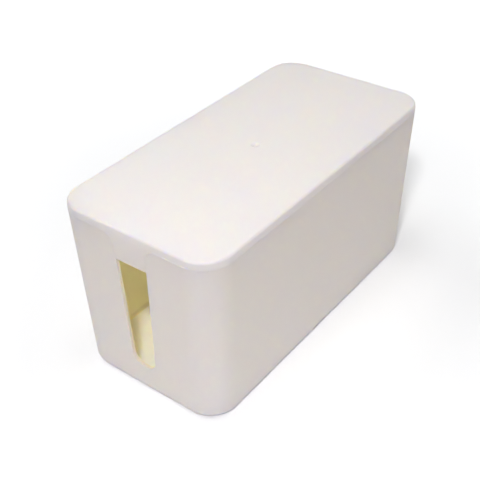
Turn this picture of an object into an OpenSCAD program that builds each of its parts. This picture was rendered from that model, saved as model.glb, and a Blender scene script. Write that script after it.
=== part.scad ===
// Cable management box. An open tub with a tall cable slot in each short end, a flush lift-off lid whose
// end tabs close the mouths of the slots, and four rubber feet.
// Millimetres. The origin is on the table under the middle of the box, +X runs along its length, +Z is up.

/* [Overall size] */
// Length over the rim
box_l = 233.2; // [180:0.2:420]
// Width over the rim
box_w = 114.3; // [90:0.1:200]
// Height from the table to the top of the lid
box_h = 120; // [80:1:180]
// Plan radius of the upright corners, at the rim
corner_r = 18.8; // [14:0.2:30]
// How far each outer wall leans in from the rim to the base
wall_lean = 3.1; // [0:0.1:6]

/* [Body moulding] */
// Thickness of the walls
wall_t = 2.4; // [1.6:0.1:3.5]
// Thickness of the floor
floor_t = 2.5; // [1.8:0.1:5]
// Outer radius between the walls and the base
base_round = 3; // [0.5:0.1:5]
// Inner radius between the walls and the floor
floor_round = 2.5; // [0.5:0.1:5]
// Radius on both edges of the rim
rim_round = 0.3; // [0.1:0.05:0.7]

/* [Cable slots] */
// Height of the slot's sill above the table
sill_h = 19.6; // [12:0.1:40]
// Width between the slot's sides, at the sill
slot_foot_w = 17.3; // [10:0.1:30]
// Lean of each side of the slot, in degrees
slot_lean = 2; // [0:0.5:4]
// Radius of the slot's two lower corners
slot_round = 8; // [2:0.5:12]
// Radius where the slot's sides open out at the rim
mouth_round = 8; // [1:0.5:12]

/* [Lid] */
// Height of the lid's visible edge
lid_edge_h = 5; // [3:0.1:8]
// Thickness of the lid's top
lid_t = 2.4; // [1.6:0.1:2.8]
// Radius on the lid's top edge
lid_round = 0.8; // [0.2:0.1:1.5]
// How far the lid's edge leans in from the seam to the top
lid_lean = 0.2; // [0:0.05:0.6]
// How far the end tabs reach down from the seam
tab_drop = 16.6; // [12:0.1:30]
// Gap on each side of a tab
tab_gap = 0.35; // [0.3:0.05:1]
// How far the locating skirt reaches down from the seam
skirt_drop = 6.5; // [3:0.1:10]
// Thickness of the locating skirt
skirt_t = 1.6; // [1:0.1:3]
// Gap between the skirt and the walls
skirt_gap = 0.4; // [0.3:0.05:1]

/* [Feet] */
// Diameter of a rubber foot
foot_d = 12; // [6:0.5:16]
// How far the feet hold the base off the table
foot_stand = 1.5; // [0.8:0.1:4]
// Depth of the pocket that a foot is stuck in
pocket_depth = 0.8; // [0.3:0.1:1.2]
// Gap round a foot in its pocket
pocket_gap = 0.2; // [0.1:0.05:0.5]
// Distance of a foot's middle from the two base edges next to it
foot_inset = 17; // [12:0.5:30]
// Chamfer on a foot's lower edge
foot_chamfer = 0.5; // [0.2:0.1:0.8]

/* [Gate marks] */
// Diameter of the round moulding mark in the middle of the lid and of the base
gate_d = 6.5; // [3:0.5:15]
// Depth of that mark
gate_depth = 0.25; // [0.1:0.05:0.6]

/* [Hidden] */
$fn = 96;

ARC_STEPS = 8;      // segments in each rounded corner of a profile
OVERCUT = 1;        // how far a cutter reaches past the face it opens
WEB_RISE = 0.6;     // height of the tab's web above the skirt's lower edge
TAB_EDGE = 0.4;     // radius on the tab's lower edges
SKIRT_EDGE = 0.4;   // radius on the skirt's lower edges
LID_FILLET = 0.8;   // radius between the skirt and the underside of the lid's top
FULL_ROUND = 0.97;  // share of a full half round that the sill's two corners may take

// Straight distance between the corner axes, along and across the box
run_x = box_l - 2 * corner_r;
run_y = box_w - 2 * corner_r;

// Heights
z_base = foot_stand;
z_floor = z_base + floor_t;
z_seam = box_h - lid_edge_h;
z_skirt = z_seam - skirt_drop;
z_web = z_skirt + WEB_RISE;
z_tab = z_seam - tab_drop;
z_lid_under = box_h - lid_t;

// Distance of the outer wall from the corner axes, at height z
function wall_r(z) = corner_r - wall_lean * (z_seam - z) / (z_seam - z_base);

// Distance of the skirt's outer and inner faces from the corner axes, at height z
function skirt_out(z) = wall_r(z) - wall_t - skirt_gap;
function skirt_in(z) = skirt_out(z) - skirt_t;

// Half the slot's width at height z
function slot_half(z) = slot_foot_w / 2 + (z - sill_h) * tan(slot_lean);

// The largest radius that the slot's lower corners have room for
sill_r = min(slot_round, FULL_ROUND * slot_foot_w / 2 * tan(45 + slot_lean / 2));

// Middle of a foot, in the quarter where x and y are positive
foot_x = run_x / 2 + wall_r(z_base) - foot_inset;
foot_y = run_y / 2 + wall_r(z_base) - foot_inset;

function unit(v) = v / norm(v);
function flat(p) = [p[0], p[1]];

// Points of the arc of radius b[2] that rounds the corner b between its neighbours a and c
function corner_arc(a, b, c) =
    let(
        u = unit(flat(a) - flat(b)),
        v = unit(flat(c) - flat(b)),
        half = acos(u * v) / 2,
        reach = b[2] / tan(half),
        centre = flat(b) + unit(u + v) * b[2] / sin(half),
        from = flat(b) + u * reach - centre,
        to = flat(b) + v * reach - centre,
        sweep = 180 - 2 * half
    )
    [for (i = [0:ARC_STEPS])
        centre + (from * sin(sweep * (1 - i / ARC_STEPS)) + to * sin(sweep * i / ARC_STEPS)) / sin(sweep)];

// A closed outline from [x, y, radius] corners
function rounded(path) =
    let(n = len(path))
    [for (i = [0:n - 1])
        each path[i][2] == 0
            ? [flat(path[i])]
            : corner_arc(path[(i + n - 1) % n], path[i], path[(i + 1) % n])];

// A half outline and its mirror image, joined at x = 0
function mirrored(path) =
    concat(path, [for (i = [len(path) - 1:-1:0]) [-path[i][0], path[i][1], path[i][2]]]);

// Sweeps a 2D section, radius against height, round the plan of the box
module around_box() {
    for (turn = [0:3]) {
        across = turn % 2 == 0 ? run_x : run_y;
        along = turn % 2 == 0 ? run_y : run_x;
        rotate(90 * turn) translate([across / 2, along / 2, 0]) {
            rotate_extrude(angle = 90) children();
            rotate([90, 0, 0]) linear_extrude(along) children();
        }
    }
}

// Fills the middle of the plan, between the corner axes
module core_plate(z, thickness) {
    translate([-run_x / 2, -run_y / 2, z]) cube([run_x, run_y, thickness]);
}

// Places its children at both short ends, where local +X points out of the box
module both_ends() {
    for (turn = [0, 180]) rotate(turn) translate([run_x / 2, 0, 0]) children();
}

// Runs an outline drawn across the box (y, z) outwards through an end wall
module through_end(depth) {
    rotate([90, 0, 90]) linear_extrude(depth) children();
}

module body_section() {
    polygon(rounded([
        [0, z_base, 0],
        [wall_r(z_base), z_base, base_round],
        [corner_r, z_seam, rim_round],
        [corner_r - wall_t, z_seam, rim_round],
        [wall_r(z_floor) - wall_t, z_floor, floor_round],
        [0, z_floor, 0]
    ]));
}

module slot_outline() {
    wide = slot_half(z_seam) + 2 * mouth_round;
    polygon(rounded(mirrored([
        [slot_half(sill_h), sill_h, sill_r],
        [slot_half(z_seam), z_seam, mouth_round],
        [wide, z_seam, 0],
        [wide, z_seam + OVERCUT, 0]
    ])));
}

module box_body() {
    color("#e9e4dd") difference() {
        union() {
            around_box() body_section();
            core_plate(z_base, floor_t);
        }
        both_ends() through_end(corner_r + OVERCUT) slot_outline();
        for (x = [-foot_x, foot_x], y = [-foot_y, foot_y])
            translate([x, y, z_base - OVERCUT])
                cylinder(d = foot_d + 2 * pocket_gap, h = pocket_depth + OVERCUT);
        translate([0, 0, z_base - OVERCUT]) cylinder(d = gate_d, h = gate_depth + OVERCUT);
    }
}

module lid_section() {
    polygon(rounded([
        [0, z_lid_under, 0],
        [skirt_in(z_seam), z_lid_under, LID_FILLET],
        [skirt_in(z_skirt), z_skirt, SKIRT_EDGE],
        [skirt_out(z_skirt), z_skirt, SKIRT_EDGE],
        [skirt_out(z_seam), z_seam, 0],
        [corner_r, z_seam, 0],
        [corner_r - lid_lean, box_h, lid_round],
        [0, box_h, 0]
    ]));
}

// The tab seen from the end of the box: the slot's outline, kept clear of it by tab_gap
module tab_outline() {
    side_gap = tab_gap / cos(slot_lean);
    root_round = mouth_round + tab_gap;
    z_top = z_seam + tab_gap;
    wide = slot_half(z_top) + 2 * root_round;
    polygon(rounded(mirrored([
        [slot_half(z_tab) - side_gap, z_tab, TAB_EDGE],
        [slot_half(z_top) - side_gap, z_top, root_round],
        [wide, z_top, 0],
        [wide, z_top + OVERCUT, 0]
    ])));
}

// The tab seen from the side: flush with the wall outside, and joined to the skirt above
module tab_section() {
    polygon(rounded([
        [wall_r(z_tab), z_tab, TAB_EDGE],
        [corner_r, z_seam, 0],
        [skirt_out(z_seam) - skirt_t / 2, z_seam, 0],
        [skirt_out(z_web) - skirt_t / 2, z_web, 0],
        [wall_r(z_web) - wall_t, z_web, 0],
        [wall_r(z_tab) - wall_t, z_tab, TAB_EDGE]
    ]));
}

module end_tab() {
    span = 4 * (slot_half(z_seam) + mouth_round + tab_gap);
    intersection() {
        translate([0, span / 2, 0]) rotate([90, 0, 0]) linear_extrude(span) tab_section();
        through_end(corner_r + OVERCUT) tab_outline();
    }
}

module lid() {
    color("#f1ede7") difference() {
        union() {
            around_box() lid_section();
            core_plate(z_lid_under, lid_t);
            both_ends() end_tab();
        }
        translate([0, 0, box_h - gate_depth]) cylinder(d = gate_d, h = gate_depth + OVERCUT);
    }
}

// One rubber foot; front and left are -1 or 1, along -X and +Y
module foot(front, left) {
    radius = foot_d / 2;
    color("#d8d6d0") translate([-front * foot_x, left * foot_y, 0]) rotate_extrude() polygon([
        [0, 0],
        [radius - foot_chamfer, 0],
        [radius, foot_chamfer],
        [radius, foot_stand + pocket_depth],
        [0, foot_stand + pocket_depth]
    ]);
}

box_body();
lid();
foot(1, 1);  // foot_front_left
foot(1, -1);  // foot_front_right
foot(-1, 1);  // foot_rear_left
foot(-1, -1);  // foot_rear_right
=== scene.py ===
"""Dresses the cable management box: a plastic tub and lid with four rubber feet, on a pale studio floor."""

import logging
import math
from contextlib import contextmanager
from dataclasses import dataclass
from enum import Enum
from typing import Callable, Iterator, Sequence

import bmesh
import bpy
from bmesh.types import BMesh
from bpy.types import Material, Node, Object
from bpy.types import NodeSocket as Socket
from bpy.types import NodeTree as Tree
from mathutils import Matrix, Vector


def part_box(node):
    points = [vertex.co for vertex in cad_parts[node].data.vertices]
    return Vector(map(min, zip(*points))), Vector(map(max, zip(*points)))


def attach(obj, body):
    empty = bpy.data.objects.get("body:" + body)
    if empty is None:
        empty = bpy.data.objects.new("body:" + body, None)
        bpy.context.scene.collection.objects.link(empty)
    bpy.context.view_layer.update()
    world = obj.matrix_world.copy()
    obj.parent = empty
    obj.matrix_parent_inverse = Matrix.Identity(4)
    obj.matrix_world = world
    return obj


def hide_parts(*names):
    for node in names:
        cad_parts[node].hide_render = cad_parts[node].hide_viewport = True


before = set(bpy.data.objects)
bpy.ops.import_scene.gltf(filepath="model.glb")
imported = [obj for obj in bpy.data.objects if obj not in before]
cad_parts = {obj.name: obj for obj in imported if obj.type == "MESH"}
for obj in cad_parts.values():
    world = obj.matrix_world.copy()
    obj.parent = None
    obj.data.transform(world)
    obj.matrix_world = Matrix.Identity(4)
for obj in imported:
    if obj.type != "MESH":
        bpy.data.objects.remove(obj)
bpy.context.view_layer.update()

LOG = logging.getLogger("cable_box")
MM = 0.001
WELD = 2e-6  # points closer than this are one point
OVERCUT = 1 * MM  # how far a cutting tool reaches past the face that it opens
CREASE = math.radians(32)  # the smallest turn between two faces that stays sharp
GATE_R = 3.25 * MM  # radius of the moulding marks
GATE_STEPS = 8  # straight pieces in a quarter of their circle
AIM = Vector((-23.59, -4.58, 62.67)) * MM  # where the camera and the lights point

Point2 = tuple[float, float]
Corner = tuple[float, float, float]  # two coordinates and a radius
Colour = tuple[float, float, float]


class End(Enum):
    """The two short ends of the box; the value is the sign of their X."""

    FRONT = -1
    REAR = 1


class Slot(Enum):
    """The record's material slots."""

    CASING = "casing_plastic"
    RUBBER = "foot_rubber"


class ToolUse(Enum):
    """What a tool's solid does to a piece."""

    JOIN = "UNION"
    REMOVE = "DIFFERENCE"


class Mask(Enum):
    """The masks that a moulding's mesh carries for its plastic."""

    INSIDE = "inside"
    # full colour on the outer faces where 1; lower values paint shade on the upper walls and the lid's edge
    PALE = "pale"
    THIN = "thin"


# ---------------------------------------------------------------- outlines


def corner_arc(before: Point2, corner: Corner, after: Point2, steps: int) -> list[Point2]:
    """Rounds one corner of an outline.

    Args:
        before: The outline's point ahead of the corner.
        corner: The corner's two coordinates, and its radius.
        after: The outline's point past the corner.
        steps: How many straight pieces make the arc.

    Returns:
        The arc's points, or the corner itself where its radius is 0.
    """
    here = Vector(corner[:2])
    radius = corner[2]
    if radius == 0:
        return [tuple(here)]
    back = (Vector(before[:2]) - here).normalized()
    ahead = (Vector(after[:2]) - here).normalized()
    half = back.angle(ahead) / 2
    reach = radius / math.tan(half)
    centre = here + (back + ahead).normalized() * radius / math.sin(half)
    start = here + back * reach - centre
    end = here + ahead * reach - centre
    sweep = math.pi - 2 * half
    points = []
    for i in range(steps + 1):
        share = i / steps
        spoke = start * math.sin(sweep * (1 - share)) + end * math.sin(sweep * share)
        points.append(tuple(centre + spoke / math.sin(sweep)))
    return points


def rounded(path: list[Corner], steps: int) -> list[Point2]:
    """Rounds the inner corners of an open outline, and keeps its two ends.

    Args:
        path: The outline's corners, with their radii.
        steps: How many straight pieces make each arc.

    Returns:
        The rounded outline's points.
    """
    points: list[Point2] = [path[0][:2]]
    for before, corner, after in zip(path, path[1:], path[2:]):
        points += corner_arc(before, corner, after, steps)
    return points + [path[-1][:2]]


def mirrored(path: list[Corner]) -> list[Corner]:
    """Joins a half outline with its mirror image."""
    return path + [(-x, y, r) for x, y, r in reversed(path)]


def round_edge(radius: float, steps: int) -> list[Point2]:
    """Walks round a wall's quarter-round edge: distances from its outline, depths below its outer face."""
    turns = [math.pi / 2 * i / steps for i in range(steps + 1)]
    return [(radius * (1 - math.sin(turn)), radius * (1 - math.cos(turn))) for turn in turns]


# ---------------------------------------------------------------- node trees


class Graph:
    """Adds and links the nodes of one node tree."""

    def __init__(self, tree: Tree) -> None:
        """Takes the tree to fill."""
        self.tree = tree

    def add(self, kind: str, inputs: dict | None = None, **settings: object) -> Node:
        """Adds a node.

        Args:
            kind: The node's type name.
            inputs: Values or sockets for its inputs, by name or number.
            **settings: The node's own options.

        Returns:
            The new node.
        """
        node = self.tree.nodes.new(kind)
        for key, value in settings.items():
            setattr(node, key, value)
        for key, value in (inputs or {}).items():
            self.feed(node.inputs[key], value)
        return node

    def feed(self, socket: Socket, value: object) -> None:
        """Links a socket to an input, or sets the input's value.

        Args:
            socket: The input.
            value: Another node's socket, or a plain value.
        """
        if isinstance(value, Socket):
            self.tree.links.new(value, socket)
        else:
            socket.default_value = value

    def whole(self, operation: str, *values: object) -> Socket:
        """Returns the result of integer arithmetic."""
        node = self.add("FunctionNodeIntegerMath", dict(enumerate(values)), operation=operation)
        return node.outputs[0]

    def math(self, operation: str, *values: object) -> Socket:
        """Returns the result of plain arithmetic."""
        return self.add("ShaderNodeMath", dict(enumerate(values)), operation=operation).outputs[0]

    def mix_values(self, share: object, first: object, second: object) -> Socket:
        """Returns a mix of two numbers."""
        node = self.add("ShaderNodeMix", {"Factor": share, "A": first, "B": second}, data_type="FLOAT")
        return node.outputs[0]

    def mix_colours(self, share: object, first: object, second: object) -> Socket:
        """Mixes two colours.

        Args:
            share: How much of the second colour there is.
            first: The first colour: a socket, or three numbers.
            second: The second colour.

        Returns:
            The socket with the mix.
        """
        inputs = {"Factor": share, "A": first, "B": second}
        for key in ("A", "B"):
            if isinstance(inputs[key], tuple):
                inputs[key] = (*inputs[key], 1)
        return self.add("ShaderNodeMix", inputs, data_type="RGBA").outputs[2]

    def mix_shaders(self, share: object, first: Node, second: Node) -> Socket:
        """Returns a mix of two shaders."""
        inputs = {0: share, 1: first.outputs[0], 2: second.outputs[0]}
        return self.add("ShaderNodeMixShader", inputs).outputs[0]

    def stretch(
        self,
        value: object,
        low: float = 0.0,
        high: float = 1.0,
        start: float = 0.0,
        end: float = 1.0,
        smooth: bool = False,
    ) -> Socket:
        """Stretches the part of a value's range between two levels to another range.

        Args:
            value: The value's socket.
            low: The level that becomes the start.
            high: The level that becomes the end.
            start: The new range's first value.
            end: Its last value.
            smooth: Whether the steps at both levels are eased.

        Returns:
            The socket with the new value.
        """
        inputs = {"Value": value, "From Min": low, "From Max": high, "To Min": start, "To Max": end}
        kind = "SMOOTHSTEP" if smooth else "LINEAR"
        return self.add("ShaderNodeMapRange", inputs, interpolation_type=kind).outputs[0]


def new_group(
    name: str, kind: str, inputs: dict[str, str], outputs: dict[str, str]
) -> tuple[Tree, Graph, Node, Node]:
    """Makes a node group with named sockets.

    Args:
        name: The group's name.
        kind: The tree type.
        inputs: Socket types by input name.
        outputs: Socket types by output name.

    Returns:
        The group, its graph, and its input and output nodes.
    """
    group = bpy.data.node_groups.new(name, kind)
    for label, socket_type in inputs.items():
        group.interface.new_socket(label, in_out="INPUT", socket_type=socket_type)
    for label, socket_type in outputs.items():
        group.interface.new_socket(label, in_out="OUTPUT", socket_type=socket_type)
    graph = Graph(group)
    return group, graph, graph.add("NodeGroupInput"), graph.add("NodeGroupOutput")


def side_place_group() -> Tree:
    """Builds the rule for where a straight side's points lie, as steps out from a plain middle.

    Returns:
        The group.
    """
    group, graph, given, result = new_group(
        "side_place",
        "GeometryNodeTree",
        {
            "Step": "NodeSocketInt",
            "Steps": "NodeSocketInt",
            "Run": "NodeSocketFloat",
            "Split": "NodeSocketFloat",
        },
        {"Place": "NodeSocketFloat"},
    )
    step, steps = given.outputs["Step"], given.outputs["Steps"]
    half = graph.math("MULTIPLY", given.outputs["Run"], 0.5)
    outer = graph.math("SUBTRACT", half, given.outputs["Split"])
    pace = graph.math("DIVIDE", outer, steps)
    first = graph.math("SUBTRACT", graph.math("MULTIPLY", pace, step), half)
    late = graph.math("SUBTRACT", graph.math("SUBTRACT", step, steps), 1.0)
    second = graph.math("ADD", given.outputs["Split"], graph.math("MULTIPLY", pace, late))
    past = graph.math("GREATER_THAN", step, steps)
    graph.feed(result.inputs["Place"], graph.mix_values(past, first, second))
    return group


def core_quads(
    graph: Graph, given: Node, place: Tree, point: Node, run_x: Socket, run_y: Socket
) -> Socket:
    """Adds the flat quads that fill the plan between the corner axes.

    Args:
        graph: The loft's graph.
        given: The loft's input node.
        place: The rule for the points of a straight side.
        point: The node that gives the quads' height.
        run_x: The socket with the plan's straight length at that height.
        run_y: The socket with its straight width.

    Returns:
        The socket with the quads.
    """
    steps, split = given.outputs["Side Steps"], given.outputs["Split"]
    count = graph.whole("MULTIPLY_ADD", steps, 2, 2)
    grid = graph.add("GeometryNodeMeshGrid", {"Vertices X": count, "Vertices Y": count})
    index = graph.add("GeometryNodeInputIndex").outputs[0]
    axes = []
    for run, step in ((run_x, graph.whole("DIVIDE_FLOOR", index, count)),
                      (run_y, graph.whole("MODULO", index, count))):
        inputs = {"Step": step, "Steps": steps, "Run": run, "Split": split}
        axes.append(graph.add("GeometryNodeGroup", inputs, node_tree=place).outputs["Place"])
    spot = graph.add("ShaderNodeCombineXYZ", {"X": axes[0], "Y": axes[1], "Z": point.outputs["Z"]})
    moved = graph.add("GeometryNodeSetPosition", {
        "Geometry": grid.outputs["Mesh"],
        "Position": spot.outputs[0],
    })
    return moved.outputs[0]


def hand_over(graph: Graph, given: Node, result: Node, last: Node) -> None:
    """Ends a geometry tree: real meshes, in the tree's material.

    Args:
        graph: The tree's graph.
        given: The tree's input node.
        result: The tree's output node.
        last: The node that gives the finished shape.
    """
    real = graph.add("GeometryNodeRealizeInstances", {0: last.outputs[0]})
    done = graph.add("GeometryNodeSetMaterial", {
        "Geometry": real.outputs[0],
        "Material": given.outputs["Material"],
    })
    graph.feed(result.inputs["Geometry"], done.outputs[0])


def plan_loft_group() -> Tree:
    """Builds the tree that carries a section round a rounded rectangle and closes its middle.

    The modifier's own mesh is the section. A point's X is its distance from the corner axes, its Y how far
    those axes have moved in at its height, and its Z the height. The first and last point lie on the axes.
    With no runs, the result is a turned solid.

    Returns:
        The tree.
    """
    group, graph, given, result = new_group(
        "plan_loft",
        "GeometryNodeTree",
        {
            "Section": "NodeSocketGeometry",
            "Run X": "NodeSocketFloat",
            "Run Y": "NodeSocketFloat",
            "Split": "NodeSocketFloat",
            "Corner Steps": "NodeSocketInt",
            "Side Steps": "NodeSocketInt",
            "Weld": "NodeSocketFloat",
            "Material": "NodeSocketMaterial",
        },
        {"Geometry": "NodeSocketGeometry"},
    )
    section, weld = given.outputs["Section"], given.outputs["Weld"]
    corner_steps, side_steps = given.outputs["Corner Steps"], given.outputs["Side Steps"]
    split = given.outputs["Split"]
    place = side_place_group()
    rows = graph.add("GeometryNodeAttributeDomainSize", {"Geometry": section}).outputs["Point Count"]
    last_row = graph.whole("SUBTRACT", rows, 1)
    position = graph.add("GeometryNodeInputPosition").outputs[0]

    def section_point(row: object) -> tuple[Node, Socket, Socket]:
        """Reads the section's point for a row, and works out the two runs there.

        Args:
            row: The row's number, or the socket with it.

        Returns:
            The node with the point's coordinates, and the sockets with the two runs.
        """
        found = graph.add("GeometryNodeSampleIndex", {
            "Geometry": section,
            "Index": row,
            "Value": position,
        }, data_type="FLOAT_VECTOR")
        point = graph.add("ShaderNodeSeparateXYZ", {0: found.outputs[0]})
        runs = [graph.math("MULTIPLY_ADD", point.outputs["Y"], -2.0, given.outputs[label])
                for label in ("Run X", "Run Y")]
        return point, *runs

    quarter_columns = graph.whole("ADD", corner_steps, graph.whole("MULTIPLY_ADD", side_steps, 2, 1))
    columns = graph.whole("MULTIPLY_ADD", quarter_columns, 4, 1)
    grid = graph.add("GeometryNodeMeshGrid", {"Vertices X": columns, "Vertices Y": rows})
    index = graph.add("GeometryNodeInputIndex").outputs[0]
    column = graph.whole("DIVIDE_FLOOR", index, rows)
    point, run_x, run_y = section_point(graph.whole("MODULO", index, rows))
    quarter = graph.whole("DIVIDE_FLOOR", column, quarter_columns)
    step = graph.whole("MODULO", column, quarter_columns)
    turned_share = graph.math("DIVIDE", graph.whole("MINIMUM", step, corner_steps), corner_steps)
    turn = graph.math("MULTIPLY", turned_share, math.pi / 2)
    side_step = graph.whole("MAXIMUM", graph.whole("SUBTRACT", step, corner_steps), 0)
    odd = graph.whole("MODULO", quarter, 2)
    along, across = graph.mix_values(odd, run_x, run_y), graph.mix_values(odd, run_y, run_x)
    side = graph.add("GeometryNodeGroup", {
        "Step": side_step,
        "Steps": side_steps,
        "Run": along,
        "Split": split,
    }, node_tree=place)
    reach_x = graph.math("MULTIPLY", graph.math("COSINE", turn), point.outputs["X"])
    reach_y = graph.math("MULTIPLY", graph.math("SINE", turn), point.outputs["X"])
    local = graph.add("ShaderNodeCombineXYZ", {
        "X": graph.math("SUBTRACT", reach_x, side.outputs["Place"]),
        "Y": graph.math("ADD", reach_y, graph.math("MULTIPLY", across, 0.5)),
        "Z": point.outputs["Z"],
    })
    turned = graph.add("ShaderNodeVectorRotate", {
        "Vector": local.outputs[0],
        "Angle": graph.math("MULTIPLY", quarter, math.pi / 2),
    }, rotation_type="Z_AXIS")
    shell = graph.add("GeometryNodeSetPosition", {
        "Geometry": grid.outputs["Mesh"],
        "Position": turned.outputs[0],
    })
    join = graph.add("GeometryNodeJoinGeometry")
    graph.feed(join.inputs[0], shell.outputs[0])
    for row in (0, last_row):
        graph.feed(join.inputs[0], core_quads(graph, given, place, *section_point(row)))
    merged = graph.add("GeometryNodeMergeByDistance", {"Geometry": join.outputs[0], "Distance": weld})
    hand_over(graph, given, result, merged)
    return group


def four_places_group() -> Tree:
    """Builds the tree that sets a copy of the modifier's mesh at the four corners of a rectangle.

    Returns:
        The tree.
    """
    group, graph, given, result = new_group(
        "four_places",
        "GeometryNodeTree",
        {
            "Piece": "NodeSocketGeometry",
            "Spacing X": "NodeSocketFloat",
            "Spacing Y": "NodeSocketFloat",
            "Material": "NodeSocketMaterial",
        },
        {"Geometry": "NodeSocketGeometry"},
    )
    grid = graph.add("GeometryNodeMeshGrid", {
        "Size X": given.outputs["Spacing X"],
        "Size Y": given.outputs["Spacing Y"],
        "Vertices X": 2,
        "Vertices Y": 2,
    })
    copies = graph.add("GeometryNodeInstanceOnPoints", {
        "Points": grid.outputs["Mesh"],
        "Instance": given.outputs["Piece"],
    })
    hand_over(graph, given, result, copies)
    return group


def run_tree(obj: Object, tree: Tree, values: dict[str, object]) -> None:
    """Runs a geometry tree on an object, and keeps the result as its plain mesh.

    Args:
        obj: The object that holds the tree's own mesh.
        tree: The tree.
        values: The tree's inputs, by name.
    """
    step = obj.modifiers.new(tree.name, "NODES")
    step.node_group = tree
    for item in tree.interface.items_tree:
        if item.in_out == "INPUT" and item.name in values:
            step[item.identifier] = values[item.name]
    bake(obj)


# ---------------------------------------------------------------- meshes


def mesh_object(
    name: str, verts: Sequence[Sequence[float]], faces: Sequence[tuple[int, ...]] = ()
) -> Object:
    """Makes a linked mesh object.

    Args:
        name: The object's name, and its mesh's.
        verts: Its points.
        faces: Its faces, as numbers of points.

    Returns:
        The object.
    """
    mesh = bpy.data.meshes.new(name)
    mesh.from_pydata(verts, [], faces)
    obj = bpy.data.objects.new(name, mesh)
    bpy.context.scene.collection.objects.link(obj)
    return obj


def bake(obj: Object) -> None:
    """Makes an object's plain mesh what its modifiers show, and removes them.

    Args:
        obj: The object.
    """
    depsgraph = bpy.context.evaluated_depsgraph_get()
    made = bpy.data.meshes.new_from_object(obj.evaluated_get(depsgraph), depsgraph=depsgraph)
    obj.modifiers.clear()
    old = obj.data
    obj.data = made
    bpy.data.meshes.remove(old)
    made.name = obj.name


def combine(obj: Object, tool: Object, use: ToolUse) -> None:
    """Joins a tool's solid to an object, or cuts it out, and removes the tool.

    Args:
        obj: The object, a closed solid.
        tool: The other solid.
        use: What the tool does to it.
    """
    step = obj.modifiers.new(use.name.lower(), "BOOLEAN")
    step.operation = use.value
    step.solver = "EXACT"
    step.object = tool
    bake(obj)
    bpy.data.objects.remove(tool)


@contextmanager
def editing(obj: Object) -> Iterator[BMesh]:
    """Opens an object's mesh for editing, and writes it back.

    Args:
        obj: The object.

    Yields:
        The open mesh.
    """
    work = bmesh.new()
    work.from_mesh(obj.data)
    try:
        yield work
        work.to_mesh(obj.data)
    finally:
        work.free()


def finish_surface(obj: Object, material: Material) -> None:
    """Points the faces outwards, keeps the true creases sharp and shades the rest smooth.

    Args:
        obj: A closed mesh.
        material: The one material of all its faces.
    """
    with editing(obj) as work:
        bmesh.ops.remove_doubles(work, verts=work.verts, dist=WELD)
        bmesh.ops.recalc_face_normals(work, faces=work.faces)
        for edge in work.edges:
            edge.smooth = len(edge.link_faces) == 2 and edge.calc_face_angle(0) < CREASE
        for face in work.faces:
            face.smooth = True
            face.material_index = 0
        loose = [edge for edge in work.edges if len(edge.link_faces) != 2]
        if loose:
            LOG.warning("%s has %d open or shared edges", obj.name, len(loose))
    obj.data.materials.clear()
    obj.data.materials.append(material)
    shade = obj.modifiers.new("even_shading", "WEIGHTED_NORMAL")
    shade.keep_sharp = True
    bake(obj)


def add_strips(work: BMesh, rings: list[list[Vector]]) -> None:
    """Adds the quads between each chain of points and the next.

    Args:
        work: The mesh.
        rings: The chains of points, all of the same length.
    """
    chains = [[work.verts.new(point) for point in ring] for ring in rings]
    for near, far in zip(chains, chains[1:]):
        for a, b, c, d in zip(near, near[1:], far[1:], far):
            work.faces.new((a, b, c, d))


def add_plate(work: BMesh, points: list[Vector]) -> None:
    """Adds one flat face."""
    work.faces.new([work.verts.new(point) for point in points])


def clear_faces(work: BMesh, stands: Callable[[Vector], bool]) -> None:
    """Deletes the faces whose middle passes a test."""
    gone = [face for face in work.faces if stands(face.calc_center_median())]
    bmesh.ops.delete(work, geom=gone, context="FACES")


def add_gate_mark(work: BMesh, height: float, cell: float, profile: list[Point2]) -> None:
    """Sets the round mark of a mould's gate in the middle square of a flat face.

    Args:
        work: The mesh.
        height: The face's height.
        cell: Half the side of the middle square.
        profile: The mark's radius and height above the face, from its rim inwards; the last radius is 0.
    """
    clear_faces(work, lambda at: abs(at.z - height) < WELD and max(abs(at.x), abs(at.y)) < cell / 2)

    def spoke(turn: int, radius: float, rise: float) -> Vector:
        """Finds a point of the mark."""
        angle = math.pi / 2 * turn / GATE_STEPS + math.pi / 4
        return Vector((radius * math.cos(angle), radius * math.sin(angle), height + rise))

    turns = range(4 * GATE_STEPS + 1)
    add_strips(work, [[spoke(turn, radius, rise) for turn in turns] for radius, rise in profile])
    for quarter in range(4):
        first, last = quarter * GATE_STEPS, (quarter + 1) * GATE_STEPS
        arc = [spoke(turn, *profile[0]) for turn in range(first, last + 1)]
        corners = [spoke(turn, cell * math.sqrt(2), 0) for turn in (last, first)]
        add_plate(work, arc + corners)


# ---------------------------------------------------------------- the box's shared shape


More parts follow.
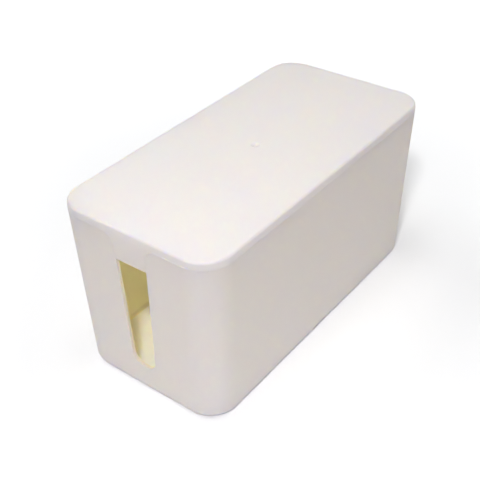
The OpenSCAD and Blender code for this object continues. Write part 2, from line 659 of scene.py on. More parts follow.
@dataclass(frozen=True)
class Plan:
    """The rounded rectangle of both mouldings, and the lean of their walls.

    The upright corners keep their radius, so their axes lean in with the walls.
    """

    length: float
    width: float
    z_base: float
    z_seam: float
    corner_r: float = 18.8 * MM
    wall_lean: float = 3.1 * MM
    wall_t: float = 2.4 * MM
    panel: float = 26 * MM  # half the width of the flat panels at the ends
    corner_steps: int = 24
    side_steps: int = 3

    @property
    def run_x(self) -> float:
        """Straight length between the corner axes at the seam."""
        return self.length - 2 * self.corner_r

    @property
    def run_y(self) -> float:
        """Straight width between the corner axes at the seam."""
        return self.width - 2 * self.corner_r

    def lean_at(self, z: float) -> float:
        """How far the walls and the corner axes have moved in at a height."""
        return self.wall_lean * max(0, self.z_seam - z) / (self.z_seam - self.z_base)

    def wall_r(self, z: float) -> float:
        """Distance of the outer wall at a height from where the corner axes cross the seam."""
        return self.corner_r - self.lean_at(z)

    def depth_share(self, at: Vector, full: float) -> float:
        """Says how far a point lies behind the outer wall.

        Args:
            at: The point.
            full: The depth that counts as 1.

        Returns:
            The share of that depth, from 0 to 1.
        """
        out_x = max(abs(at.x) - self.run_x / 2 + self.lean_at(at.z), 0)
        out_y = max(abs(at.y) - self.run_y / 2 + self.lean_at(at.z), 0)
        return min(1.0, max(0.0, (self.corner_r - math.hypot(out_x, out_y)) / full))

    def at_end(self, end: End, y: float, z: float, reach: float) -> Vector:
        """Finds the point at an end, at a distance from where the corner axes cross the seam."""
        return Vector((end.value * (self.run_x / 2 + reach), y, z))

    def loft(
        self,
        name: str,
        section: list[Point2],
        tree: Tree,
        material: Material | None,
        runs: Point2 | None = None,
    ) -> Object:
        """Carries a section round the plan.

        Args:
            name: The new object's name.
            section: Distances from where the corner axes cross the seam, and heights.
            tree: The plan_loft tree.
            material: The piece's material, if it keeps one.
            runs: Other straight lengths than the plan's, for a solid without lean; none for a turned one.

        Returns:
            The closed solid.
        """
        run_x, run_y = (self.run_x, self.run_y) if runs is None else runs
        points = []
        for reach, z in section:
            lean = self.lean_at(z) if runs is None else 0
            points.append((reach + lean if reach else 0, lean, z))
        obj = mesh_object(name, points)
        run_tree(obj, tree, {
            "Run X": run_x,
            "Run Y": run_y,
            "Split": min(self.panel, run_x / 2, run_y / 2),
            "Corner Steps": self.corner_steps,
            "Side Steps": self.side_steps,
            "Weld": WELD,
            "Material": material,
        })
        return obj


@dataclass(frozen=True)
class CableSlot:
    """The tall opening in each short end, and the gap round the lid's tab in its mouth."""

    sill_h: float = 19.6 * MM
    foot_w: float = 17.3 * MM
    lean: float = math.radians(2)
    sill_round: float = 8 * MM
    mouth_round: float = 8 * MM
    tab_gap: float = 0.12 * MM
    tab_slack: float = 0.6 * MM  # how much tighter the tab's flare is rounded on the -Y side
    arc_steps: int = 14

    def half(self, z: float) -> float:
        """Half the slot's width at a height."""
        return self.foot_w / 2 + (z - self.sill_h) * math.tan(self.lean)

    def wall_edge(self, plan: Plan, inset: float) -> list[Point2]:
        """Follows the wall's rim down one side of the slot, round its sill and up again.

        Args:
            plan: The box's plan.
            inset: How far inside the wall's outline the line runs.

        Returns:
            Points across the end and up, from the left edge of the end's panel to its right edge.
        """
        aside = inset / math.cos(self.lean)
        top, sill = plan.z_seam - inset, self.sill_h - inset
        half = [
            (plan.panel, top, 0),
            (self.half(top) + aside, top, self.mouth_round - inset),
            (self.half(sill) + aside, sill, self.sill_round + inset),
        ]
        return rounded(mirrored(half), self.arc_steps)

    def tab_edge(self, plan: Plan, z_tab: float, inset: float, tip_round: float) -> list[Point2]:
        """Follows the lid's lower edge, and dips round the tab.

        Args:
            plan: The box's plan.
            z_tab: The height of the tab's lower edge.
            inset: How far inside the lid's outline the line runs.
            tip_round: Radius of the tab's two lower corners.

        Returns:
            Points across the end and up, from the left edge of the end's panel to its right edge.
        """
        aside = (self.tab_gap + inset) / math.cos(self.lean)
        edge, tip = plan.z_seam + inset, z_tab + inset
        left, right = [[
            (plan.panel, edge, 0),
            (self.half(edge) - aside, edge, self.mouth_round + self.tab_gap + inset - slack),
            (self.half(tip) - aside, tip, tip_round - inset),
        ] for slack in (0, self.tab_slack)]
        return rounded(left + mirrored(right)[len(right):], self.arc_steps)


# ---------------------------------------------------------------- finishes


def mould_texture_group() -> Tree:
    """Builds the fine spark-eroded texture of a mould, with slow ripples from uneven cooling.

    Returns:
        The group.
    """
    group, graph, given, result = new_group(
        "mould_texture",
        "ShaderNodeTree",
        {"Vector": "NodeSocketVector", "Grain": "NodeSocketFloat", "Ripple": "NodeSocketFloat"},
        {"Height": "NodeSocketFloat", "Sheen": "NodeSocketFloat"},
    )
    ripple_height = 6.0  # against the grain's
    details = {"Grain": {"Detail": 3.0, "Roughness": 0.6}, "Ripple": {"Detail": 1.0}}
    grain, ripple = [
        graph.add("ShaderNodeTexNoise", {
            "Vector": given.outputs["Vector"],
            "Scale": given.outputs[label],
            **detail,
        }).outputs[0]
        for label, detail in details.items()
    ]
    graph.feed(result.inputs["Height"], graph.math("MULTIPLY_ADD", ripple, ripple_height, grain))
    half_ripple = graph.math("MULTIPLY", ripple, 0.5)
    graph.feed(result.inputs["Sheen"], graph.math("MULTIPLY_ADD", grain, 0.5, half_ripple))
    return group


def handling_group() -> Tree:
    """Builds the faint marks of handling: wide smudges, hair-fine scuffs and specks of dust.

    Returns:
        The group.
    """
    group, graph, given, result = new_group(
        "handling",
        "ShaderNodeTree",
        {"Vector": "NodeSocketVector", "Size": "NodeSocketFloat"},
        {"Smudge": "NodeSocketFloat", "Scuff": "NodeSocketFloat", "Dust": "NodeSocketFloat"},
    )
    small = graph.add("ShaderNodeVectorMath", {0: given.outputs["Vector"]}, operation="SCALE")
    graph.feed(small.inputs["Scale"], graph.math("DIVIDE", 1.0, given.outputs["Size"]))
    vector = small.outputs["Vector"]
    wide = graph.add("ShaderNodeTexNoise", {
        "Vector": vector,
        "Scale": 1.0,
        "Detail": 2.0,
        "Distortion": 0.6,
    })
    smudge = graph.stretch(wide.outputs[0], low=0.45, high=0.7, smooth=True)
    drawn = graph.add("ShaderNodeMapping", {
        "Vector": vector,
        "Rotation": (0.2, 0.3, 0.6),
        "Scale": (2, 40, 40),
    })
    hair = graph.add("ShaderNodeTexNoise", {"Vector": drawn.outputs[0], "Scale": 1.0, "Detail": 1.0})
    line = graph.stretch(hair.outputs[0], low=0.66, high=0.72, smooth=True)
    specks = graph.add("ShaderNodeTexVoronoi", {"Vector": vector, "Scale": 14.0})
    marks = {
        "Smudge": smudge,
        "Scuff": graph.math("MULTIPLY", line, smudge),
        "Dust": graph.stretch(specks.outputs["Distance"], low=0.1, high=0.04),
    }
    for label, mark in marks.items():
        graph.feed(result.inputs[label], mark)
    return group


@dataclass(frozen=True)
class Marks:
    """How strongly the marks of handling show on a finish, and how far apart they lie."""

    size: float
    smudge: float
    scuff: float
    dust: float
    dust_colour: Colour = (0.62, 0.6, 0.56)

    def lay(
        self, graph: Graph, group: Tree, place: Socket, clean: Socket, rough: Socket
    ) -> tuple[Socket, Socket, Socket]:
        """Lays the marks over a clean surface.

        Args:
            graph: The material's graph.
            group: The handling group.
            place: The socket with the pattern's coordinates.
            clean: The socket with the clean colour.
            rough: The socket with the clean roughness.

        Returns:
            The sockets with the marked colour, the marked roughness and the scuffs' depth.
        """
        marks = graph.add("ShaderNodeGroup", {"Vector": place, "Size": self.size}, node_tree=group).outputs
        dusty = graph.mix_colours(graph.math("MULTIPLY", marks["Dust"], self.dust), clean, self.dust_colour)
        greasy = graph.math("MULTIPLY_ADD", marks["Smudge"], -self.smudge, rough)
        worn = graph.math("MULTIPLY_ADD", marks["Scuff"], self.scuff, greasy)
        return dusty, worn, marks["Scuff"]


@dataclass(frozen=True, kw_only=True)
class Finish:
    """What the moulded finishes share: a mould's texture, and the marks of handling over it."""

    name: str
    grain: float
    ripple: float
    bump: float
    bump_height: float
    scuff_height: float  # against the texture's
    marks: Marks

    def start(self, groups: dict[str, Tree]) -> tuple[Material, Graph, Socket, Node]:
        """Starts a material.

        Args:
            groups: The shared groups, by name.

        Returns:
            The material, its graph, the socket with its coordinates, and the node of the mould's texture.
        """
        made = bpy.data.materials.new(self.name)
        made.use_nodes = True
        graph = Graph(made.node_tree)
        place = graph.add("ShaderNodeTexCoord").outputs["Object"]
        inputs = {"Vector": place, "Grain": self.grain, "Ripple": self.ripple}
        return made, graph, place, graph.add("ShaderNodeGroup", inputs, node_tree=groups["mould_texture"])

    def dress(
        self, graph: Graph, groups: dict[str, Tree], place: Socket, skin: Node, clean: Socket, rough: Socket
    ) -> Node:
        """Feeds the material's shader with the clean surface and the marks over it.

        Args:
            graph: The material's graph.
            groups: The shared groups, by name.
            place: The socket with the coordinates.
            skin: The node of the mould's texture.
            clean: The socket with the clean colour.
            rough: The socket with the clean roughness.

        Returns:
            The shader's node.
        """
        colour, worn, scuff = self.marks.lay(graph, groups["handling"], place, clean, rough)
        bump = graph.add("ShaderNodeBump", {
            "Height": graph.math("MULTIPLY_ADD", scuff, self.scuff_height, skin.outputs["Height"]),
            "Strength": self.bump,
            "Distance": self.bump_height,
        })
        shader = graph.tree.nodes["Principled BSDF"]
        for label, value in {"Base Color": colour, "Roughness": worn, "Normal": bump.outputs[0]}.items():
            graph.feed(shader.inputs[label], value)
        return shader


@dataclass(frozen=True, kw_only=True)
class SatinPlastic(Finish):
    """A warm white moulded plastic that lets some light through its thin walls, with a painted glow on its
    inner faces and painted shade on parts of its outer faces.
    """

    outer: Colour = (0.92, 0.885, 0.91)
    # inner faces: brighter copies of the outer colour, warm on the walls as a painted glow of light passing
    # through and bouncing inside, hardly tinted on the floor
    inner: Colour = (0.98, 0.955, 0.9)
    inner_floor: Colour = (0.97, 0.985, 0.98)
    through: Colour = (0.96, 0.94, 0.93)
    through_inner: Colour = (0.98, 0.89, 0.4)
    outer_share: float = 0.36
    inner_share: float = 0.5
    roughness: float = 0.42
    rough_spread: float = 0.05
    scatter: float = 0.4 * MM
    scatter_reach: Colour = (1.25, 1.0, 0.55)
    grain: float = 1400.0
    ripple: float = 22.0
    bump: float = 0.25
    bump_height: float = 0.02 * MM
    scuff_height: float = -0.6
    least: float = 0.9  # share of the outer colour where the pale mask is 0: the deepest painted shade
    edge_power: float = 3.0  # bends the "inside" mask so that the walls' cut edges look like the outer faces
    marks: Marks = Marks(size=0.03, smudge=0.05, scuff=0.12, dust=0.12)

    def colours(self, graph: Graph, inside: Socket, pale: Socket, thin: Socket) -> tuple[Socket, Socket]:
        """Mixes the colours of the outer and inner faces; the inner faces' brighter, warmer colour is a
        painted glow.

        Args:
            graph: The material's graph.
            inside: The socket with the mask of the inner faces.
            pale: The socket with the mask of painted light on the outer faces; below 1 the colour darkens as
                painted shade.
            thin: The socket with the mask of the faces that let light through, against the floor's.

        Returns:
            The sockets with the colour that is reflected, and the one that passes through.
        """
        # painted shade: the outer colour darkens where the pale mask falls
        darker = tuple(self.least * c for c in self.outer)
        outer = graph.mix_colours(pale, darker, self.outer)
        inner = graph.mix_colours(thin, self.inner_floor, self.inner)
        shown = graph.mix_colours(inside, outer, inner)
        return shown, graph.mix_colours(inside, self.through, self.through_inner)

    def material(self, groups: dict[str, Tree]) -> Material:
        """Builds the material.

        Args:
            groups: The shared groups, by name.

        Returns:
            The material.
        """
        made, graph, place, skin = self.start(groups)
        inside, pale, thin = [
            graph.add("ShaderNodeAttribute", attribute_name=mask.value).outputs["Fac"] for mask in Mask
        ]
        inside = graph.math("POWER", inside, self.edge_power)
        clean, through = self.colours(graph, inside, pale, thin)
        rough = graph.stretch(
            skin.outputs["Sheen"],
            low=0.35,
            high=0.65,
            start=self.roughness - self.rough_spread,
            end=self.roughness + self.rough_spread,
        )
        shader = self.dress(graph, groups, place, skin, clean, rough)
        for label, value in (("Weight", 1.0), ("Radius", self.scatter_reach), ("Scale", self.scatter)):
            shader.inputs["Subsurface " + label].default_value = value
        glow = graph.add("ShaderNodeBsdfTranslucent", {"Color": through})
        share = graph.stretch(inside, start=self.outer_share, end=self.inner_share)
        wall = graph.mix_shaders(graph.math("MULTIPLY", share, thin), shader, glow)
        graph.feed(made.node_tree.nodes["Material Output"].inputs["Surface"], wall)
        return made


@dataclass(frozen=True, kw_only=True)
class Rubber(Finish):
    """The pale grey rubber of the feet: matt, pitted, and dusty where it has picked dust up."""

    colour: Colour
    least: float = 0.8  # share of the colour in the darkest pits
    rough_low: float = 0.65
    rough_high: float = 0.9
    grain: float = 2200.0
    ripple: float = 260.0
    bump: float = 0.4
    bump_height: float = 0.05 * MM
    scuff_height: float = -1.0
    marks: Marks = Marks(size=0.008, smudge=-0.08, scuff=0.05, dust=0.5)

    def material(self, groups: dict[str, Tree]) -> Material:
        """Builds the material.

        Args:
            groups: The shared groups, by name.

        Returns:
            The material.
        """
        made, graph, place, skin = self.start(groups)
        darker = tuple(self.least * c for c in self.colour)
        clean = graph.mix_colours(skin.outputs["Sheen"], self.colour, darker)
        rough = graph.stretch(skin.outputs["Sheen"], start=self.rough_low, end=self.rough_high)
        self.dress(graph, groups, place, skin, clean, rough)
        return made


def write_masks(obj: Object, shares: dict[Mask, Callable[[Vector], float]]) -> None:
    """Writes the plastic's masks on a moulding.

    Args:
        obj: The moulding.
        shares: For each mask, what gives its value at a point, from 0 to 1.
    """
    for mask, share in shares.items():
        layer = obj.data.attributes.new(mask.value, "FLOAT", "POINT")
        layer.data.foreach_set("value", [share(vertex.co) for vertex in obj.data.vertices])


# ---------------------------------------------------------------- the pieces


@dataclass
class Tub:
    """The open tub: leaning walls, a flat floor, and a cable slot down each short end."""

    plan: Plan
    slot: CableSlot
    material: Material
    floor_t: float = 2.5 * MM
    base_round: float = 3 * MM
    floor_round: float = 2.5 * MM
    round_steps: int = 8
    rim_round: float = 0.12 * MM
    rim_steps: int = 4
    panel_foot: float = 13 * MM  # height where the flat panels of the ends start
    row: float = 15 * MM  # largest distance between two rows of points up the walls
    gate_depth: float = 0.25 * MM
    gate: tuple[Point2, ...] = (  # radii and shares of the depth
        (GATE_R, 0), (GATE_R - 0.2 * MM, 1), (1.2 * MM, 1), (0.8 * MM, 0.5), (0, 0.5)
    )
    foot_r: float = 6.2 * MM  # radius of a foot's pocket
    pocket_depth: float = 0.8 * MM
    chamfer: float = 0.2 * MM
    floor_passes: float = 0.1  # how freely light passes through the floor, against the walls, and how much of the walls' painted glow colour it shows

    @property
    def z_floor(self) -> float:
        """Height of the inner floor."""
        return self.plan.z_base + self.floor_t

    def edge(self) -> list[Point2]:
        """Walks over the wall's edge, from its outer face to its inner one: inset and depth."""
        outer = round_edge(self.rim_round, self.rim_steps)
        return outer + [(inset, self.plan.wall_t - depth) for inset, depth in reversed(outer)]

    def rows(self) -> list[float]:
        """Spreads rows of points up the wall.

        Returns:
            The rows' heights, all below the wall's rounded edge.
        """
        top = self.plan.z_seam - self.rim_round
        count = math.ceil((top - self.panel_foot) / self.row)
        return [self.panel_foot + (top - self.panel_foot) * i / count for i in range(count)]

    def section(self) -> list[Point2]:
        """Draws the wall and floor from the middle of the base round to the middle of the floor.

        Returns:
            Distances from where the corner axes cross the seam, and heights.
        """
        plan = self.plan
        base = rounded([
            (0, plan.z_base, 0),
            (plan.wall_r(plan.z_base), plan.z_base, self.base_round),
            (plan.wall_r(self.panel_foot), self.panel_foot, 0),
        ], self.round_steps)
        outer = [(plan.wall_r(z), z) for z in self.rows()[1:]]
        rim = []
        for inset, depth in self.edge():
            rim.append((plan.wall_r(plan.z_seam - inset) - depth, plan.z_seam - inset))
        inner = [(plan.wall_r(z) - plan.wall_t, z) for z in reversed(self.rows()[1:])]
        floor = rounded([
            (plan.wall_r(self.panel_foot) - plan.wall_t, self.panel_foot, 0),
            (plan.wall_r(self.z_floor) - plan.wall_t, self.z_floor, self.floor_round),
            (0, self.z_floor, 0),
        ], self.round_steps)
        return base + outer + rim + inner + floor

    def open_slot(self, work: BMesh, end: End) -> None:
        """Rebuilds the flat middle of an end wall round its cable slot.

        Args:
            work: The tub's open mesh.
            end: The end.
        """
        plan = self.plan

        def on_wall(line: list[Point2], depth: float) -> list[Vector]:
            """Puts a line across the end and up at a depth in the wall."""
            return [plan.at_end(end, y, z, plan.wall_r(z) - depth) for y, z in line]

        clear_faces(
            work,
            lambda at: end.value * at.x > plan.run_x / 2
            and abs(at.y) < plan.panel
            and at.z > self.panel_foot,
        )
        rings = [on_wall(self.slot.wall_edge(plan, inset), depth) for inset, depth in self.edge()]
        add_strips(work, rings)
        sides = [(-plan.panel, z) for z in reversed(self.rows())] + [(plan.panel, z) for z in self.rows()]
        for ring, depth in ((rings[0], 0), (rings[-1], plan.wall_t)):
            add_plate(work, ring + on_wall(sides, depth))

    def foot_pockets(self, trees: dict[str, Tree], spacing: Point2) -> Object:
        """Makes the tool that cuts the four shallow pockets that the feet are stuck in.

        Args:
            trees: The node trees, by name.
            spacing: Distances between the middles of the feet, along and across.

        Returns:
            The tool.
        """
        base = self.plan.z_base
        roof, below = base + self.pocket_depth, base - OVERCUT
        wide = self.foot_r + self.chamfer
        section = [
            (0, roof),
            (self.foot_r, roof),
            (self.foot_r, base + self.chamfer),
            (wide, base),
            (wide, below),
            (0, below),
        ]
        cutter = self.plan.loft("foot_pockets", section, trees["plan_loft"], None, (0, 0))
        run_tree(cutter, trees["four_places"], {"Spacing X": spacing[0], "Spacing Y": spacing[1]})
        return cutter

    def inside(self, at: Vector) -> float:
        """Says how far a point lies on the inner side of the tub."""
        above = at.z - self.plan.z_base > self.floor_t / 2
        return self.plan.depth_share(at, self.plan.wall_t) if above else 0.0

    def pale(self, at: Vector) -> float:
        """Says how pale the outer face is at a point: full colour at the base, with painted shade growing up
        to the seam.
        """
        return (self.plan.z_seam - at.z) / (self.plan.z_seam - self.plan.z_base)

    def thin(self, at: Vector) -> float:
        """Says how freely light passes through the plastic at a point, and how much of the walls' painted
        glow it shows: little through the floor.
        """
        return 1.0 if at.z > self.z_floor + WELD else self.floor_passes

    def build(self, trees: dict[str, Tree], spacing: Point2) -> Object:
        """Args:
            trees: The node trees, by name.
            spacing: Distances between the middles of the feet, along and across.

        Returns:
            The finished piece.
        """
        plan, material = self.plan, self.material
        tub = plan.loft("tub", self.section(), trees["plan_loft"], material)
        mark = [(radius, self.gate_depth * share) for radius, share in self.gate]
        with editing(tub) as work:
            for end in End:
                self.open_slot(work, end)
            add_gate_mark(work, plan.z_base, plan.panel, mark)
        finish_surface(tub, material)
        combine(tub, self.foot_pockets(trees, spacing), ToolUse.REMOVE)
        finish_surface(tub, material)
        write_masks(tub, {Mask.INSIDE: self.inside, Mask.PALE: self.pale, Mask.THIN: self.thin})
        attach(tub, "box")
        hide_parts("box_body")
        return tub


@dataclass
class Lid:
    """The flush lid: a flat top, a short edge, a locating skirt, and a tab down into each slot's mouth."""

    plan: Plan
    slot: CableSlot
    material: Material
    z_top: float
    z_tab: float
    top_t: float = 2.4 * MM
    top_round: float = 1.4 * MM
    top_steps: int = 8
    lean: float = 0.2 * MM
    edge_round: float = 0.12 * MM
    edge_steps: int = 3
    skirt_drop: float = 6.5 * MM
    skirt_t: float = 1.6 * MM
    skirt_gap: float = 0.4 * MM
    skirt_edge: float = 0.4 * MM
    skirt_steps: int = 6
    fillet: float = 0.8 * MM
    tip_round: float = 0.4 * MM
    web_rise: float = 0.6 * MM
    gate_depth: float = 0.9 * MM
    gate: tuple[Point2, ...] = (  # radii and shares of the depth
        (GATE_R, 0), (GATE_R - 0.2 * MM, 0.12), (0.9 * MM, 1), (0.6 * MM, 1), (0.5 * MM, 0.8), (0, 0.8)
    )
    flash: tuple[Point2, ...] = (  # from the front's middle to the right
        (24 * MM, 30 * MM), (36.6 * MM, 44 * MM)
    )
    flash_out: float = 0.55 * MM
    flash_sunk: float = 0.1 * MM  # how far its two ends lie inside the lid
    flash_root: float = 1 * MM  # how far its back lies inside the lid
    flash_t: float = 0.1 * MM  # thickness of its outer edge
    flash_rise: float = 0.15 * MM  # height of its underside above the seam
    flash_slope: float = 0.85  # rise of its upper face for each step back
    flash_steps: int = 16

    @property
    def z_band(self) -> float:
        """Height of the row of points between the lid's lower edge and its rounded top edge."""
        return (self.plan.z_seam + self.z_top) / 2

    def skirt_out(self, z: float) -> float:
        """Distance of the skirt's outer face from the corner axes at a height."""
        return self.plan.wall_r(z) - self.plan.wall_t - self.skirt_gap

    def face_r(self, z: float) -> float:
        """Finds the lid's outer face, or the tab's.

        Args:
            z: A height.

        Returns:
            The face's distance at that height from where the corner axes cross the seam.
        """
        start = self.plan.z_seam + self.edge_round
        if z <= self.plan.z_seam:
            return self.plan.wall_r(z)
        return self.plan.corner_r - self.lean * max(0, z - start) / (self.z_top - start)

    def section(self) -> list[Point2]:
        """Draws the lid from the middle of its underside round to the middle of its top.

        Returns:
            Distances from where the corner axes cross the seam, and heights.
        """
        plan = self.plan
        z_under, z_skirt = self.z_top - self.top_t, plan.z_seam - self.skirt_drop
        below = rounded([
            (0, z_under, 0),
            (self.skirt_out(plan.z_seam) - self.skirt_t, z_under, self.fillet),
            (self.skirt_out(z_skirt) - self.skirt_t, z_skirt, self.skirt_edge),
            (self.skirt_out(z_skirt), z_skirt, self.skirt_edge),
            (self.skirt_out(plan.z_seam), plan.z_seam, 0),
        ], self.skirt_steps)
        edge = [(plan.corner_r - plan.wall_t, plan.z_seam)]
        for inset, depth in reversed(round_edge(self.edge_round, self.edge_steps)):
            edge.append((self.face_r(plan.z_seam + inset) - depth, plan.z_seam + inset))
        above = rounded([
            (self.face_r(self.z_band), self.z_band, 0),
            (self.face_r(self.z_top), self.z_top, self.top_round),
            (0, self.z_top, 0),
        ], self.top_steps)
        return below + edge + above

    def hang_tab(self, work: BMesh, end: End) -> None:
        """Rebuilds the lid's lower edge at an end so that it dips down round the tab.

        Args:
            work: The lid's open mesh.
            end: The end.
        """
        plan = self.plan
        inner = self.skirt_out(plan.z_seam)
        clear_faces(
            work,
            lambda at: end.value * at.x > plan.run_x / 2 + inner + WELD
            and abs(at.y) < plan.panel
            and at.z < self.z_band,
        )
        rings = []
        for inset, depth in round_edge(self.edge_round, self.edge_steps) + [(0, plan.wall_t)]:
            line = self.slot.tab_edge(plan, self.z_tab, inset, self.tip_round)
            rings.append([plan.at_end(end, y, z, self.face_r(z) - depth) for y, z in line])
        add_strips(work, rings)
        borders = ((rings[0], self.z_band, self.face_r(self.z_band)), (rings[-1], plan.z_seam, inner))
        for ring, z, reach in borders:
            border = [plan.at_end(end, y, z, reach) for y in (-plan.panel, plan.panel)]
            add_plate(work, [ring[0], ring[1], ring[-2], ring[-1]] + border)
            add_plate(work, ring[1:-1])

    def web(self, end: End) -> Object:
        """Makes the block that joins a tab to the skirt behind it.

        Args:
            end: The end.

        Returns:
            The block.
        """
        plan = self.plan
        low = plan.z_seam - self.skirt_drop + self.web_rise
        half = self.slot.half(low) - self.slot.tab_gap
        reach = (self.skirt_out(low) - self.skirt_t / 2, plan.wall_r(low) - plan.wall_t / 2)
        heights = (low, plan.z_seam + self.top_t / 2)
        corners = [plan.at_end(end, y, z, r) for r in reach for z in heights for y in (-half, half)]
        faces = [(0, 1, 3, 2), (4, 6, 7, 5), (0, 2, 6, 4), (1, 5, 7, 3), (0, 4, 5, 1), (2, 3, 7, 6)]
        if end is End.FRONT:
            faces = [tuple(reversed(face)) for face in faces]
        return mesh_object("tab_web", corners, faces)

    def flash_sliver(self, start: float, stop: float) -> Object:
        """Makes a sliver of mould flash on the lid's lower edge, round the front's right corner.

        Args:
            start: Where it starts, along the edge from the middle of the front.
            stop: Where it stops.

        Returns:
            The sliver, thinning out at both ends.
        """
        plan, count = self.plan, self.flash_steps
        root = -self.flash_root
        verts = []
        for i in range(count + 1):
            along = start + (stop - start) * i / count
            past = max(0.0, along - plan.run_y / 2)
            turn = past / plan.corner_r
            axis = Vector((-plan.run_x / 2, -min(along, plan.run_y / 2), 0))
            out = Vector((-math.cos(turn), -math.sin(turn), 0))
            swell = (self.flash_out + self.flash_sunk) * math.sin(math.pi * i / count) - self.flash_sunk
            back_t = self.flash_t + self.flash_slope * (swell + self.flash_root)
            for reach, rise in ((root, 0), (swell, 0), (swell, self.flash_t), (root, back_t)):
                height = Vector((0, 0, plan.z_seam + self.flash_rise + rise))
                verts.append(axis + out * (plan.corner_r + reach) + height)
        faces = [(0, 1, 2, 3), tuple(4 * count + k for k in (3, 2, 1, 0))]
        for ring in range(0, 4 * count, 4):
            for k, after in ((0, 1), (1, 2), (2, 3), (3, 0)):
                faces.append((ring + k, ring + 4 + k, ring + 4 + after, ring + after))
        return mesh_object("flash", verts, faces)

    def inside(self, at: Vector) -> float:
        """Says how far a point lies on the inner side of the lid."""
        below = at.z < self.z_top - self.top_t / 2
        return self.plan.depth_share(at, self.plan.wall_t) if below else 0.0

    def pale(self, at: Vector) -> float:
        """Says how pale the outer face is at a point: full colour on the flat top, with painted shade on the
        rounded top edge and the short edge below it.
        """
        return self.plan.depth_share(at, self.top_round)

    def build(self, trees: dict[str, Tree]) -> Object:
        """Args:
            trees: The node trees, by name.

        Returns:
            The finished piece.
        """
        material = self.material
        lid = self.plan.loft("lid_cover", self.section(), trees["plan_loft"], material)
        mark = [(radius, -self.gate_depth * share) for radius, share in self.gate]
        with editing(lid) as work:
            for end in End:
                self.hang_tab(work, end)
            add_gate_mark(work, self.z_top, self.plan.panel, mark)
        finish_surface(lid, material)
        for block in [self.web(end) for end in End] + [self.flash_sliver(*span) for span in self.flash]:
            combine(lid, block, ToolUse.JOIN)
        finish_surface(lid, material)
        write_masks(lid, {Mask.INSIDE: self.inside, Mask.PALE: self.pale, Mask.THIN: lambda at: 1.0})
        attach(lid, "lid")
        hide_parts("lid")
        return lid


@dataclass
class Feet:
    """Four round rubber feet, each with a moulded ring on its tread."""

    plan: Plan
    material: Material
    edge_round: float = 0.5 * MM
    top_round: float = 0.1 * MM
    round_steps: int = 4
    ring_depth: float = 0.25 * MM
    ring: tuple[Point2, ...] = (  # shares of the foot's radius and of the ring's depth
        (0.72, 0), (0.68, 1), (0.56, 1), (0.52, 0), (0, 0)
    )

    @staticmethod
    def nodes() -> list[str]:
        """Names the feet in the frame."""
        return [f"foot_{end}_{side}" for end in ("front", "rear") for side in ("left", "right")]

    def spacing(self) -> Point2:
        """Measures the distances between the middles of the feet, along and across."""
        low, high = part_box("foot_rear_right")
        return abs(low.x + high.x), abs(low.y + high.y)

    def section(self) -> list[Point2]:
        """Draws a foot from the middle of its top round to the middle of its tread.

        Returns:
            Distances from the foot's axis, and heights.
        """
        low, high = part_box("foot_rear_right")
        radius, height = (high.x - low.x) / 2, high.z
        ring = [(radius * share, self.ring_depth * depth) for share, depth in self.ring]
        tread = rounded([
            (0, height, 0),
            (radius, height, self.top_round),
            (radius, 0, self.edge_round),
            (*ring[0], 0),
        ], self.round_steps)
        return tread + ring[1:]

    def build(self, trees: dict[str, Tree]) -> Object:
        """Args:
            trees: The node trees, by name.

        Returns:
            The finished piece.
        """
        material = self.material
        feet = self.plan.loft("rubber_feet", self.section(), trees["plan_loft"], material, (0, 0))
        along, across = self.spacing()
        run_tree(feet, trees["four_places"], {"Spacing X": along, "Spacing Y": across, "Material": material})
        finish_surface(feet, material)
        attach(feet, "box")
        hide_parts(*self.nodes())
        return feet


# ---------------------------------------------------------------- the studio


def direction(azimuth: float, elevation: float) -> Vector:
    """Finds the way towards a viewpoint; azimuth 0 is at -Y, both in degrees."""
    turn, rise = math.radians(azimuth), math.radians(elevation)
    return Vector((math.sin(turn) * math.cos(rise), -math.cos(turn) * math.cos(rise), math.sin(rise)))


def seen_directly(graph: Graph) -> Socket:
    """Adds the mask of rays that show a surface as it is: straight, mirrored or through glass.

    Args:
        graph: The graph of a material or world.

    Returns:
        The socket with the mask.
    """
    path = graph.add("ShaderNodeLightPath").outputs
    seen = graph.math("MAXIMUM", path["Is Camera Ray"], path["Is Glossy Ray"])
    through = graph.math("SUBTRACT", path["Is Transmission Ray"], path["Is Diffuse Ray"])
    return graph.math("MAXIMUM", seen, through)


@dataclass(frozen=True)
class Softbox:
    """A square area light, pointed at the middle of the box."""

    name: str
    azimuth: float
    elevation: float
    distance: float
    side: float
    power: float
    colour: Colour = (1, 1.018, 1.055)

    def build(self) -> None:
        """Sets the light up."""
        back = direction(self.azimuth, self.elevation)
        data = bpy.data.lights.new(self.name, "AREA")
        data.shape = "SQUARE"
        data.size = self.side
        data.energy = self.power
        data.color = self.colour
        lamp = bpy.data.objects.new(self.name, data)
        lamp.location = AIM + back * self.distance
        lamp.rotation_euler = back.to_track_quat("Z", "Y").to_euler()
        bpy.context.scene.collection.objects.link(lamp)


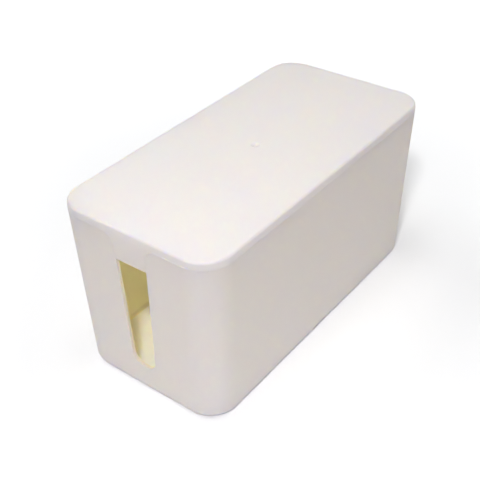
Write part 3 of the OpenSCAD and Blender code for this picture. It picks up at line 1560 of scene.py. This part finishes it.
@dataclass
class Studio:
    """The pale floor, the lights and the camera."""

    azimuth: float = -52.19
    elevation: float = 36.19
    roll: float = -1.36
    distance: float = 551.6 * MM
    lens: float = 64.67
    sensor: float = 36.0
    floor_side: float = 12.0
    floor_colour: Colour = (0.97, 0.965, 0.99)
    floor_shown: Colour = (0.986, 0.974, 0.944)
    white_from: float = 0.16  # distance from the box where the floor starts to turn white
    white_at: float = 0.92  # distance where it is all white
    ambient: Colour = (0.098, 0.1, 0.112)
    diffuse_bounces: int = 12
    max_bounces: int = 16
    lights: tuple[Softbox, ...] = (
        Softbox("key", azimuth=-58.5, elevation=51, distance=0.8, side=0.08, power=3.6),
        Softbox("overhead", azimuth=-142, elevation=87, distance=1.6, side=0.65, power=6.9),
        Softbox("back_left", azimuth=-170, elevation=45, distance=2.0, side=1.2, power=8.6),
        Softbox("back_right", azimuth=60, elevation=50, distance=2.0, side=1.2, power=8.6),
    )

    def build_floor(self) -> None:
        """Lays the floor: plain and pale to the object, and white to the eye but for the shadow."""
        half = self.floor_side / 2
        corners = [(-half, -half, 0), (half, -half, 0), (half, half, 0), (-half, half, 0)]
        floor = mesh_object("floor", corners, [(0, 1, 2, 3)])
        made = bpy.data.materials.new("pale_floor")
        made.use_nodes = True
        graph = Graph(made.node_tree)
        made.node_tree.nodes.clear()
        plain = graph.add("ShaderNodeBsdfDiffuse", {"Color": (*self.floor_colour, 1)})
        white = graph.add("ShaderNodeBsdfDiffuse", {"Color": (*self.floor_shown, 1)})
        place = graph.add("ShaderNodeTexCoord").outputs["Object"]
        away = graph.add("ShaderNodeVectorMath", {0: place}, operation="LENGTH").outputs["Value"]
        glow = graph.stretch(away, self.white_from, self.white_at)
        lift = graph.add("ShaderNodeEmission", {"Color": (1, 1, 1, 1), "Strength": glow})
        shown = graph.add("ShaderNodeAddShader", {0: white.outputs[0], 1: lift.outputs[0]})
        surface = graph.mix_shaders(seen_directly(graph), plain, shown)
        graph.add("ShaderNodeOutputMaterial", {"Surface": surface})
        floor.data.materials.append(made)

    def build_world(self) -> None:
        """Fills the room with even light, and makes it white to the eye."""
        world = bpy.data.worlds.new("studio")
        world.use_nodes = True
        bpy.context.scene.world = world
        graph = Graph(world.node_tree)
        world.node_tree.nodes.clear()
        around = graph.add("ShaderNodeBackground", {"Color": (*self.ambient, 1), "Strength": 1.0})
        white = graph.add("ShaderNodeBackground", {"Color": (1, 1, 1, 1), "Strength": 1.0})
        surface = graph.mix_shaders(seen_directly(graph), around, white)
        graph.add("ShaderNodeOutputWorld", {"Surface": surface})

    def build_camera(self) -> None:
        """Places the camera."""
        data = bpy.data.cameras.new("camera")
        data.lens = self.lens
        data.sensor_width = self.sensor
        camera = bpy.data.objects.new("camera", data)
        back = direction(self.azimuth, self.elevation)
        turn = math.radians(self.azimuth)
        right = Vector((math.cos(turn), math.sin(turn), 0))
        up = back.cross(right)
        roll = math.radians(self.roll)
        rolled_right = right * math.cos(roll) + up * math.sin(roll)
        rolled_up = up * math.cos(roll) - right * math.sin(roll)
        facing = Matrix((rolled_right, rolled_up, back)).transposed().to_4x4()
        camera.matrix_world = Matrix.Translation(AIM + back * self.distance) @ facing
        bpy.context.scene.collection.objects.link(camera)
        bpy.context.scene.camera = camera

    def build(self) -> None:
        """Sets up the whole studio."""
        self.build_floor()
        self.build_world()
        for light in self.lights:
            light.build()
        self.build_camera()
        scene = bpy.context.scene
        scene.view_settings.view_transform = "Standard"
        scene.cycles.diffuse_bounces = self.diffuse_bounces
        scene.cycles.max_bounces = self.max_bounces


def main() -> None:
    """Builds the studio and the pieces."""
    logging.basicConfig(level=logging.INFO, format="%(name)s: %(message)s")
    body_low, body_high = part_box("box_body")
    lid_low, lid_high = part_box("lid")
    plan = Plan(
        length=body_high.x - body_low.x,
        width=body_high.y - body_low.y,
        z_base=body_low.z,
        z_seam=body_high.z,
    )
    slot = CableSlot()
    builders = (plan_loft_group, four_places_group, mould_texture_group, handling_group)
    trees = {tree.name: tree for tree in (build() for build in builders)}
    Studio().build()
    rubber = Rubber(name="pale_rubber", colour=(0.5, 0.48, 0.45)).material(trees)
    feet = Feet(plan, rubber)
    plastic = SatinPlastic(name="warm_white_plastic").material(trees)
    pieces = [
        Tub(plan, slot, plastic).build(trees, feet.spacing()),
        Lid(plan, slot, plastic, z_top=lid_high.z, z_tab=lid_low.z).build(trees),
        feet.build(trees),
    ]
    for piece in pieces:
        LOG.info("%s: %d points, %d faces", piece.name, len(piece.data.vertices), len(piece.data.polygons))


if __name__ == "__main__":
    main()
